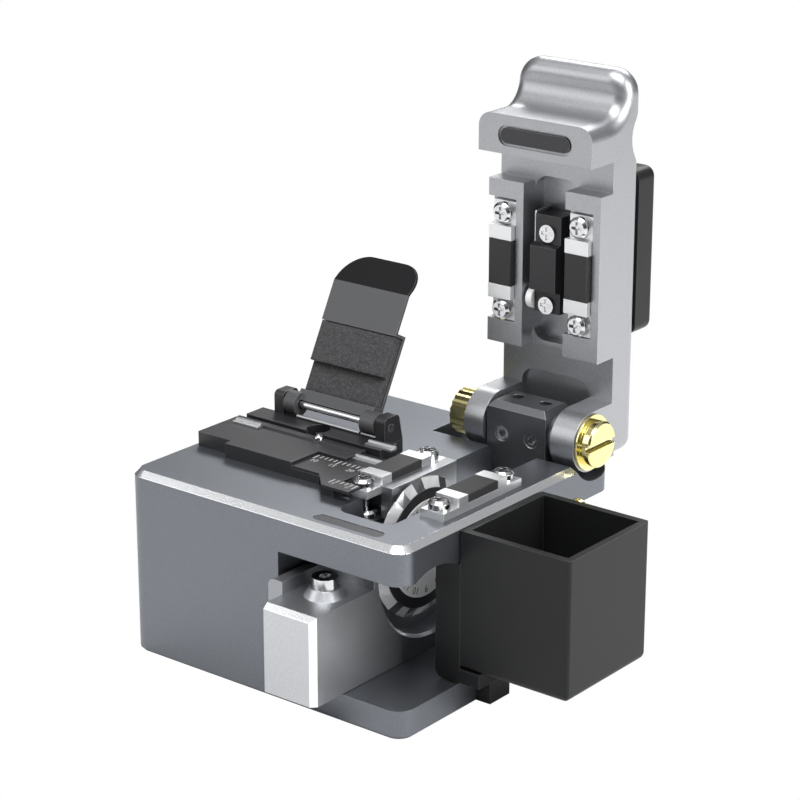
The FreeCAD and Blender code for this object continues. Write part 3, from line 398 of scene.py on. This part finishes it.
@dataclass(frozen=True)
class Palette:
    """Every finish of the object."""

    base: Finish = Finish("base_anodised", (0.158, 0.168, 0.185), 0.92, 0.40, grain_contrast=0.5,
                          grain_relief=0.25, chamfer_band=(34.0 * MM, 35.25 * MM))
    hinge: Finish = Finish("hinge_anodised", (0.16, 0.165, 0.175), 0.9, 0.36, grain_contrast=0.3,
                           edge_color=(0.6, 0.61, 0.63))
    lid: Finish = Finish("lid_anodised", (0.37, 0.378, 0.392), 0.92, 0.38, grain_contrast=0.45,
                         grain_relief=0.22, edge_color=(0.42, 0.43, 0.45))
    slider: Finish = Finish("slider_silver", (0.47, 0.48, 0.50), 0.95, 0.38, grain_contrast=0.4,
                            grain_relief=0.2, chamfer_band=(0.0, 21.98 * MM))
    carriage: Finish = Finish("carriage_grey", (0.30, 0.31, 0.325), 0.9, 0.42,
                              edge_color=(0.6, 0.61, 0.62))
    black: Finish = Finish("black_anodised", (0.022, 0.022, 0.024), 0.3, 0.38,
                           edge_color=(0.20, 0.20, 0.21), edge_gain=2.2)
    sheet: Finish = Finish("black_sheet", (0.082, 0.083, 0.086), 0.45, 0.42, specular=0.25,
                           edge_color=(0.22, 0.22, 0.23))
    # painted shade: the clamp sheet's lip beyond its bend, the same sheet metal as above, painted
    # darker
    lip: Finish = Finish("lip_painted_shade", (0.005, 0.005, 0.006), 0.45, 0.6, specular=0.25,
                         edge_color=(0.16, 0.16, 0.17))
    plastic: Finish = Finish("black_plastic", (0.011, 0.0113, 0.0118), 0.0, 0.40,
                             specular=0.2, edge_color=(0.10, 0.103, 0.106),
                             edge_gain=2.5, grain_contrast=0.1)
    chrome: Finish = Finish("polished_steel", (0.58, 0.58, 0.59), 1.0, 0.16, grain_contrast=0.5,
                            grain_relief=0.0)
    clip: Finish = Finish("satin_nickel", (0.70, 0.71, 0.72), 0.85, 0.34, grain_contrast=0.2,
                          edge_color=(0.95, 0.95, 0.96))
    bracket: Finish = Finish("bracket_metal", (0.36, 0.37, 0.385), 0.92, 0.33,
                             grain_contrast=0.4, edge_color=(0.85, 0.86, 0.87))
    leaf: Finish = Finish("leaf_steel", (0.42, 0.425, 0.43), 0.9, 0.36,
                          edge_color=(0.62, 0.63, 0.64), edge_gain=2.0)
    blade: Finish = Finish("ground_blade", (0.92, 0.92, 0.93), 0.6, 0.20, grain_contrast=0.1,
                           grain_relief=0.02, edge_width=0.03 * MM)
    # painted shade for the blade's darker flats
    dark_flat: Finish = Finish("shaded_blade", (0.30, 0.31, 0.32), 0.9, 0.24, grain_contrast=0.1,
                               grain_relief=0.02, edge_width=0.03 * MM)
    magnet: Finish = Finish("magnet_nickel", (0.05, 0.05, 0.054), 0.7, 0.38, grain_contrast=0.6,
                            edge_color=(0.30, 0.305, 0.31))
    brass: Finish = Finish("polished_brass", (0.86, 0.77, 0.36), 1.0, 0.16, grain_contrast=0.05,
                           grain_relief=0.0, edge_color=(1.0, 0.95, 0.62))
    rubber: Finish = Finish("pad_rubber", (0.018, 0.018, 0.019), 0.0, 0.62, grain_relief=0.3)
    foam: Finish = Finish("clamp_foam", (0.056, 0.056, 0.058), 0.0, 0.95, specular=0.15,
                          grain_scale=2600.0, grain_contrast=2.2, grain_relief=0.9)
    white: Finish = Finish("white_enamel", (0.86, 0.86, 0.86), 0.0, 0.35)
    ink: Finish = Finish("black_ink", (0.02, 0.02, 0.02), 0.0, 0.5)
    paint: Finish = Finish("white_print", (0.40, 0.40, 0.40), 0.0, 0.5)


LIP_HEIGHT: float = 60.6 * MM

NODE_FINISHES: dict[str, tuple[str, ...]] = {
    "base": ("base_body",),
    "hinge": ("hinge_block", "thrust_washer_left", "thrust_washer_right"),
    "lid": ("lid_arm",),
    "slider": ("slider_block",),
    "carriage": ("slider_carriage", "slide_rail"),
    "bracket": ("pad_bracket",),
    "leaf": ("leaf_clip_left", "leaf_clip_right", "leaf_clip_rear", "clamp_spring_leg"),
    "black": ("holder_plate", "scale_plate", "holder_rear_plate", "clamp_ear_left",
              "clamp_ear_right", "anvil_block", "blade_ring", "bin_stop"),
    "sheet": ("clamp_sheet",),
    "plastic": ("waste_bin", "bin_housing", "lid_rear_cover"),
    "chrome": ("hinge_set_screws", "pivot_shaft", "clamp_axle", "post_screw",
               "lower_left_pad_screws", "lower_right_pad_screws", "upper_left_pad_screws",
               "upper_right_pad_screws", "anvil_screws", "height_screw", "blade_shaft",
               "detent_ball", "roller_pin", "bin_pin"),
    "clip": ("lower_left_pad_frame", "lower_right_pad_frame", "upper_left_pad_frame",
             "upper_right_pad_frame", "anvil_leaf"),
    "magnet": ("base_magnet", "lid_magnet"),
    "brass": ("nut_washer", "cap_washer", "pivot_cap_screw", "bin_knob"),
    "white": ("blade_dial", "release_roller"),
}


# ------------------------------------------------------------------ mesh helpers
def publish(name: str, mesh: bmesh.types.BMesh, material: bpy.types.Material, body: str,
            smooth: bool = False) -> bpy.types.Object:
    """Turn a bmesh into a scene piece that rides on a CAD body.

    Args:
        name: the piece's name.
        mesh: its geometry in the row frame; it is freed.
        material: its material.
        body: the CAD body that carries it.
        smooth: whether its faces are shaded smooth.

    Returns:
        The new object.
    """
    bmesh.ops.recalc_face_normals(mesh, faces=mesh.faces)
    data = bpy.data.meshes.new(name)
    mesh.to_mesh(data)
    mesh.free()
    data.materials.append(material)
    data.polygons.foreach_set("use_smooth", [smooth] * len(data.polygons))
    made = bpy.data.objects.new(name, data)
    bpy.context.scene.collection.objects.link(made)
    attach(made, body)
    LOG.info("piece %s: %d faces on %s", name, len(data.polygons), body)
    return made


def loft(rings: Sequence[Sequence[Vector]]) -> bmesh.types.BMesh:
    """Skin closed rings of the same length, with both ends filled.

    Args:
        rings: rings of points.

    Returns:
        The closed mesh.
    """
    mesh = bmesh.new()
    rows = [[mesh.verts.new(point) for point in ring] for ring in rings]
    count = len(rows[0])
    for low, high in zip(rows, rows[1:]):
        for i in range(count):
            j = (i + 1) % count
            mesh.faces.new((low[i], low[j], high[j], high[i]))
    mesh.faces.new(list(reversed(rows[0])))
    mesh.faces.new(rows[-1])
    return mesh


@dataclass(frozen=True)
class Kit:
    """What every sub-assembly needs: the frame and the finished materials."""

    frame: dict
    materials: dict[str, bpy.types.Material]


# ------------------------------------------------------------------ sub-assemblies
@dataclass(frozen=True)
class RubberPad:
    """One fibre pad's rubber, with a finely serrated edge and softly rounded top."""

    prefix: str
    body: str
    upright: bool
    tooth_pitch: float = 0.42 * MM
    tooth_depth: float = 0.22 * MM
    crown: float = 0.12 * MM

    def build(self, kit: Kit) -> bpy.types.Object:
        """Build the rubber in the place of its CAD node.

        Args:
            kit: the frame and materials.

        Returns:
            The piece.
        """
        node = self.prefix + "_rubber"
        low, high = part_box(node)
        rings = [self._ring(low, high, depth, inset) for depth, inset in (
            (0.0, 0.0), (0.86, 0.0), (0.96, 0.4), (1.0, 1.0))]
        mesh = loft(rings)
        piece = publish(self.prefix + "_grip", mesh, kit.materials["rubber"], self.body)
        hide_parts(node)
        return piece

    def _ring(self, low: Vector, high: Vector, depth: float, inset: float) -> list[Vector]:
        """One outline of the pad, serrated on its right edge.

        Args:
            low: the node's low corner.
            high: the node's high corner.
            depth: 0 at the foot, 1 at the gripping face.
            inset: how much of the crown this outline is drawn in by.

        Returns:
            The outline's points.
        """
        along = (low.z, high.z) if self.upright else (low.y, high.y)
        gap = self.crown * inset
        start, end = along[0] + gap, along[1] - gap
        teeth = max(3, round((end - start) / self.tooth_pitch))
        right = [(high.x - gap - (self.tooth_depth if i % 2 else 0.0),
                  start + (end - start) * i / (2 * teeth)) for i in range(2 * teeth + 1)]
        outline = [(low.x + gap, end), (low.x + gap, start)] + right
        if self.upright:
            face = high.y + (low.y - high.y) * depth
            return [Vector((x, face, v)) for x, v in outline]
        face = low.z + (high.z - low.z) * depth
        return [Vector((x, v, face)) for x, v in outline]


@dataclass(frozen=True)
class ClampFoam:
    """One foam block on the clamp sheet: a soft box with an uneven open-cell face."""

    node: str
    name: str
    reach: tuple[float, float]
    face: float
    backing: float = -2.1 * MM
    lean_deg: float = 28.0
    side_inset: float = 0.35 * MM
    cell: float = 0.4 * MM
    rough: float = 0.07 * MM

    def build(self, kit: Kit) -> bpy.types.Object:
        """Build the foam block.

        Args:
            kit: the frame and materials.

        Returns:
            The piece.
        """
        low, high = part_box(self.node)
        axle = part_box("clamp_axle")
        centre = (axle[0] + axle[1]) / 2
        lean = math.radians(self.lean_deg)
        out = Vector((0.0, math.sin(lean), math.cos(lean)))
        front = Vector((0.0, -math.cos(lean), math.sin(lean)))
        draw = random.Random(self.name)
        left, right = low.x, high.x - self.side_inset
        columns = round((right - left) / self.cell)
        rows = round((self.reach[1] - self.reach[0]) / self.cell)
        mesh = bmesh.new()
        grid: dict[tuple[int, int, int], bmesh.types.BMVert] = {}
        for i in range(columns + 1):
            for j in range(rows + 1):
                x = left + (right - left) * i / columns
                u = self.reach[0] + (self.reach[1] - self.reach[0]) * j / rows
                rim = i in (0, columns) or j in (0, rows)
                sink = self.rough * (1.8 if rim else draw.random())
                for layer, offset in enumerate((self.backing, self.face - sink)):
                    spot = centre + out * u + front * offset
                    grid[i, j, layer] = mesh.verts.new((x, spot.y, spot.z))
        self._skin(mesh, grid, columns, rows)
        piece = publish(self.name, mesh, kit.materials["foam"], "clamp")
        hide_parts(self.node)
        return piece

    @staticmethod
    def _skin(mesh: bmesh.types.BMesh, grid: dict[tuple[int, int, int], bmesh.types.BMVert],
              columns: int, rows: int) -> None:
        """Join the two layers of points into a closed block.

        Args:
            mesh: the mesh under work.
            grid: its points by column, row and layer.
            columns: cells across.
            rows: cells along.
        """
        for i in range(columns):
            for j in range(rows):
                for layer in (0, 1):
                    mesh.faces.new([grid[i, j, layer], grid[i + 1, j, layer],
                                    grid[i + 1, j + 1, layer], grid[i, j + 1, layer]])
        for i in range(columns):
            for j in (0, rows):
                mesh.faces.new([grid[i, j, 0], grid[i + 1, j, 0], grid[i + 1, j, 1], grid[i, j, 1]])
        for j in range(rows):
            for i in (0, columns):
                mesh.faces.new([grid[i, j, 0], grid[i, j + 1, 0], grid[i, j + 1, 1], grid[i, j, 1]])


@dataclass(frozen=True)
class KnurledNut:
    """The brass nut on the hinge shaft's left end, with straight knurling."""

    teeth: int = 20
    depth: float = 0.24 * MM
    bevel: float = 0.35 * MM

    def build(self, kit: Kit) -> bpy.types.Object:
        """Build the nut in the place of its CAD node.

        Args:
            kit: the frame and materials.

        Returns:
            The piece.
        """
        low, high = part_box("pivot_nut")
        centre = (low + high) / 2
        radius = (high.z - low.z) / 2
        stations = ((low.x, self.bevel), (low.x + self.bevel, 0.0), (high.x - self.bevel, 0.0),
                    (high.x, self.bevel))
        rings = []
        for x, inset in stations:
            ring = []
            for k in range(2 * self.teeth):
                turn = math.pi * k / self.teeth
                reach = radius - inset - (self.depth if k % 2 else 0.0)
                ring.append(Vector((x, centre.y + reach * math.cos(turn),
                                    centre.z + reach * math.sin(turn))))
            rings.append(ring)
        piece = publish("knurled_nut", loft(rings), kit.materials["brass"], "base")
        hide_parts("pivot_nut")
        return piece


@dataclass(frozen=True)
class FacetedBlade:
    """The round blade, whose bevel is ground in flats that catch the light one by one; a regular
    run of flats gets a darker finish as painted shade.
    """

    flats: int = 32
    flat_radius: float = 11.0 * MM
    land: float = 0.25 * MM
    waver: float = 0.28 * MM
    dark_cycle: int = 5
    dark_turns: tuple[int, int] = (0, 3)

    def build(self, kit: Kit) -> bpy.types.Object:
        """Build the blade in the place of its CAD node.

        Args:
            kit: the frame and materials.

        Returns:
            The piece.
        """
        low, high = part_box("blade_wheel")
        centre = (low + high) / 2
        radius = (high.z - low.z) / 2
        middle = centre.x
        stations = ((low.x, self.flat_radius), (middle, radius - self.land / 4),
                    (middle + self.land / 4, radius - self.land / 4),
                    (high.x, self.flat_radius))
        rings = []
        for x, reach in stations:
            ground = self.waver if x != middle and x < high.x else 0.0
            ring = []
            for k in range(self.flats):
                angle = math.tau * k / self.flats
                near = reach - ground * (1.0 if k % 2 else 0.0)
                ring.append(Vector((x, centre.y + near * math.cos(angle),
                                    centre.z + near * math.sin(angle))))
            rings.append(ring)
        piece = publish("blade_disc", loft(rings), kit.materials["blade"], "blade")
        # painted shade: some flats in each cycle take the darker finish, standing in for flats that
        # reflect less light
        piece.data.materials.append(kit.materials["dark_flat"])
        for flat in piece.data.polygons:
            turn = math.atan2(flat.center.z - centre.z, flat.center.y - centre.y)
            index = math.floor(turn / math.tau * self.flats)
            flat.material_index = int(index % self.dark_cycle in self.dark_turns)
        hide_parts("blade_wheel")
        return piece


@dataclass(frozen=True)
class Print:
    """Flat printed marks: strokes and figures gathered into one thin mesh."""

    name: str
    body: str
    ink: str

    def publish(self, kit: Kit, marks: Sequence[tuple[str, float, Matrix]]) -> bpy.types.Object:
        """Print figures on a surface.

        Args:
            kit: the frame and materials.
            marks: for each figure its text, its height and its place as a matrix.

        Returns:
            The piece.
        """
        mesh = bmesh.new()
        for text, height, place in marks:
            curve = bpy.data.curves.new(self.name, "FONT")
            curve.body = text
            curve.size = height
            curve.align_x = "CENTER"
            curve.align_y = "CENTER"
            curve.resolution_u = 2
            holder = bpy.data.objects.new(self.name, curve)
            bpy.context.scene.collection.objects.link(holder)
            bpy.context.view_layer.update()
            flat = bpy.data.meshes.new_from_object(holder)
            flat.transform(place)
            mesh.from_mesh(flat)
            bpy.data.objects.remove(holder)
            bpy.data.meshes.remove(flat)
            bpy.data.curves.remove(curve)
        piece = publish(self.name, mesh, kit.materials[self.ink], self.body)
        return piece


@dataclass(frozen=True)
class DialFigures:
    """The blade positions, printed round the dial."""

    count: int = 16
    reach: float = 7.7 * MM
    height: float = 1.9 * MM
    lift: float = 0.03 * MM

    def build(self, kit: Kit) -> bpy.types.Object:
        """Print the figures, each with its foot towards the dial's centre.

        Args:
            kit: the frame and materials.

        Returns:
            The piece.
        """
        low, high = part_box("blade_dial")
        centre = (low + high) / 2
        facing = Matrix(((0, 0, 1), (1, 0, 0), (0, 1, 0))).to_4x4()
        marks = []
        for index in range(self.count):
            turn = math.tau * index / self.count
            spin = Matrix.Rotation(-turn, 4, "X")
            lifted = Matrix.Translation((high.x + self.lift, centre.y, centre.z))
            marks.append((str(index + 1), self.height,
                          lifted @ spin @ Matrix.Translation((0, 0, self.reach)) @ facing))
        return Print("dial_figures", "blade", "ink").publish(kit, marks)


@dataclass(frozen=True)
class ScaleMarks:
    """The cleave-length scale printed on the holder's scale plate and on its nose."""

    pitch: float = 1.04 * MM
    tick_width: float = 0.24 * MM
    short: float = 1.2 * MM
    long: float = 1.9 * MM
    margin: float = 0.5 * MM
    figure: float = 1.6 * MM
    nose_figure: float = 1.2 * MM
    nose_depth: float = 3.3 * MM
    nose_drop: float = 0.6154 * MM
    plate_ticks: int = 11
    nose_ticks: int = 6
    long_every: int = 5
    lift: float = 0.03 * MM

    def build(self, kit: Kit) -> list[bpy.types.Object]:
        """Print the ticks and the figures.

        Args:
            kit: the frame and materials.

        Returns:
            The two pieces.
        """
        low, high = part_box("scale_plate")
        face = high.z + self.lift
        nose_left = high.x - self.margin - (self.nose_ticks - 1) * self.pitch
        rows = ((low.x + self.margin, high.y - self.margin / 2, self.plate_ticks),
                (nose_left, low.y + self.nose_depth, self.nose_ticks))
        mesh = bmesh.new()
        for left, back, count in rows:
            for index in range(count):
                x = left + self.pitch * index
                front = back - (self.short if index % self.long_every else self.long)
                corners = ((x, front), (x + self.tick_width, front),
                           (x + self.tick_width, back), (x, back))
                mesh.faces.new([mesh.verts.new((u, v, face)) for u, v in corners])
        ticks = publish("scale_ticks", mesh, kit.materials["paint"], "base")
        marks = []
        for text, row, index in (("10", 0, 1), ("15", 0, 5), ("20", 0, 9), ("5", 1, 1),
                                 ("0", 1, 4)):
            left, back, _ = rows[row]
            height, tick = ((self.figure, self.long), (self.nose_figure, self.short))[row]
            reach = tick + (height / 2 if row == 0 else self.nose_drop)
            place = Matrix.Translation((left + self.pitch * index, back - reach, face))
            marks.append((text, height, place))
        figures = Print("scale_figures", "base", "paint").publish(kit, marks)
        return [ticks, figures]


# ------------------------------------------------------------------ studio
@dataclass(frozen=True)
class Softbox:
    """One rectangular studio light that faces the object."""

    name: str
    azimuth_deg: float
    elevation_deg: float
    distance: float
    width: float
    height: float
    power: float

    def place(self, target: Vector) -> None:
        """Hang the light.

        Args:
            target: the point that it faces.
        """
        data = bpy.data.lights.new(self.name, "AREA")
        data.shape = "RECTANGLE"
        data.size = self.width
        data.size_y = self.height
        data.energy = self.power
        lamp = bpy.data.objects.new(self.name, data)
        turn, tilt = math.radians(self.azimuth_deg), math.radians(self.elevation_deg)
        away = Vector((math.sin(turn) * math.cos(tilt), -math.cos(turn) * math.cos(tilt),
                       math.sin(tilt)))
        lamp.location = target + away * self.distance
        lamp.rotation_euler = away.to_track_quat("Z", "Y").to_euler()
        bpy.context.scene.collection.objects.link(lamp)
        LOG.info("light %s", self.name)


@dataclass(frozen=True)
class Studio:
    """White seamless studio: floor, lights, world and camera."""

    floor_size: float = 4.0
    camera_place: tuple[float, float, float] = (0.27811, -0.34044, 0.19815)
    camera_azimuth_deg: float = 38.61
    camera_elevation_deg: float = 19.02
    lens: float = 116.6
    centre_shift: tuple[float, float] = (0.0015, -0.0004)
    ambient: float = 0.62
    aim_height: float = 0.045
    dark_sky: tuple[float, float, float, float] = (0.12, 0.125, 0.135, 1.0)
    sky_span: tuple[float, float] = (0.35, 0.95)
    floor_drop: float = 0.0001
    floor_tone: float = 0.75
    lights: tuple[Softbox, ...] = (
        Softbox("key_top", 20.0, 70.0, 0.8, 0.7, 0.5, 7.0),
        Softbox("side_right", 95.0, 22.0, 0.8, 0.35, 0.6, 6.0),
        Softbox("fill_left", -40.0, 25.0, 1.0, 0.6, 0.6, 2.4),
        Softbox("rim_back", 200.0, 40.0, 0.9, 0.6, 0.3, 5.0),
    )

    def build(self) -> None:
        """Build the whole studio."""
        self._world()
        self._floor()
        for light in self.lights:
            light.place(Vector((0.0, 0.0, self.aim_height)))
        self._camera()
        bpy.context.scene.view_settings.view_transform = "Standard"

    def _world(self) -> None:
        """Light the surroundings: white to the camera, a soft grey gradient to the object."""
        world = bpy.data.worlds.new("studio")
        bpy.context.scene.world = world
        world.use_nodes = True
        tree = world.node_tree
        background = tree.nodes["Background"]
        place = tree.nodes.new("ShaderNodeTexCoord")
        split = tree.nodes.new("ShaderNodeSeparateXYZ")
        tree.links.new(place.outputs["Generated"], split.inputs[0])
        ramp = tree.nodes.new("ShaderNodeValToRGB")
        tones = (self.dark_sky, WHITE)
        for stop, position, tone in zip(ramp.color_ramp.elements, self.sky_span, tones):
            stop.position = position
            stop.color = tone
        tree.links.new(split.outputs["Z"], ramp.inputs["Fac"])
        tree.links.new(ramp.outputs["Color"], background.inputs["Color"])
        background.inputs["Strength"].default_value = self.ambient
        white = tree.nodes.new("ShaderNodeBackground")
        path = tree.nodes.new("ShaderNodeLightPath")
        mix = tree.nodes.new("ShaderNodeMixShader")
        tree.links.new(path.outputs["Is Camera Ray"], mix.inputs["Fac"])
        tree.links.new(background.outputs[0], mix.inputs[1])
        tree.links.new(white.outputs[0], mix.inputs[2])
        white.inputs["Color"].default_value = WHITE
        white.inputs["Strength"].default_value = 1.0
        tree.links.new(mix.outputs[0], tree.nodes["World Output"].inputs["Surface"])

    def _floor(self) -> None:
        """Lay the white sweep that the object stands on."""
        half = self.floor_size / 2
        mesh = bmesh.new()
        mesh.faces.new([mesh.verts.new((x, y, -self.floor_drop)) for x, y in (
            (-half, -half), (half, -half), (half, half), (-half, half))])
        data = bpy.data.meshes.new("sweep")
        mesh.to_mesh(data)
        mesh.free()
        material = bpy.data.materials.new("white_sweep")
        material.use_nodes = True
        tree = material.node_tree
        diffuse = tree.nodes["Principled BSDF"]
        diffuse.inputs["Base Color"].default_value = (*[self.floor_tone] * 3, 1.0)
        diffuse.inputs["Roughness"].default_value = 1.0
        glow = tree.nodes.new("ShaderNodeEmission")
        path = tree.nodes.new("ShaderNodeLightPath")
        mix = tree.nodes.new("ShaderNodeMixShader")
        tree.links.new(path.outputs["Is Camera Ray"], mix.inputs["Fac"])
        tree.links.new(diffuse.outputs[0], mix.inputs[1])
        tree.links.new(glow.outputs[0], mix.inputs[2])
        tree.links.new(mix.outputs[0], tree.nodes["Material Output"].inputs["Surface"])
        data.materials.append(material)
        floor = bpy.data.objects.new("sweep", data)
        bpy.context.scene.collection.objects.link(floor)

    def _camera(self) -> None:
        """Set the camera up."""
        data = bpy.data.cameras.new("camera")
        data.lens = self.lens
        data.shift_x, data.shift_y = self.centre_shift
        data.clip_start = 0.01
        camera = bpy.data.objects.new("camera", data)
        camera.location = self.camera_place
        camera.rotation_euler = Euler((math.pi / 2 - math.radians(self.camera_elevation_deg), 0.0,
                                       math.radians(self.camera_azimuth_deg)))
        bpy.context.scene.collection.objects.link(camera)
        bpy.context.scene.camera = camera


# ------------------------------------------------------------------ the whole scene
def paint_nodes(kit: Kit) -> None:
    """Give every CAD node its finish.

    Args:
        kit: the frame and materials.
    """
    for finish, names in NODE_FINISHES.items():
        for name in names:
            node = kit.frame["nodes"][name]
            node.data.materials.clear()
            node.data.materials.append(kit.materials[finish])
            LOG.info("finish %s on %s", finish, name)
    paint_lip_shade(kit)


def paint_lip_shade(kit: Kit) -> None:
    """Paint the clamp sheet's lip, beyond its bend, darker than the rest: painted shade where the
    lip turns away from the light.

    Args:
        kit: the frame and materials.
    """
    sheet = kit.frame["nodes"]["clamp_sheet"]
    sheet.data.materials.append(kit.materials["lip"])
    # faces above the bend take the painted shade
    for face in sheet.data.polygons:
        if (sheet.matrix_world @ face.center).z > LIP_HEIGHT:
            face.material_index = 1


def assemblies() -> list[Callable[[Kit], object]]:
    """List the builders of every piece made here.

    Returns:
        The builders.
    """
    pads = [RubberPad(f"{level}_{side}_pad", body, level == "upper")
            for level, body in (("lower", "base"), ("upper", "lid")) for side in ("left", "right")]
    foams = [ClampFoam("clamp_foam_inner", "foam_inner", (2.9 * MM, 8.5 * MM), -0.9 * MM),
             ClampFoam("clamp_foam_outer", "foam_outer", (8.5 * MM, 16.2 * MM), 0.3 * MM)]
    others = [KnurledNut(), FacetedBlade(), DialFigures(), ScaleMarks()]
    return [maker.build for maker in (*pads, *foams, *others)]


def main() -> None:
    logging.basicConfig(level=logging.INFO, format="%(name)s: %(message)s")
    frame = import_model()
    groups = Groups(grain_group(), edge_highlight_group(), chamfer_group())
    palette = Palette()
    materials = {name: getattr(palette, name).material(groups)
                 for name in Palette.__dataclass_fields__}
    kit = Kit(frame, materials)
    paint_nodes(kit)
    for build in assemblies():
        build(kit)
    Studio().build()


if __name__ == "__main__":
    main()
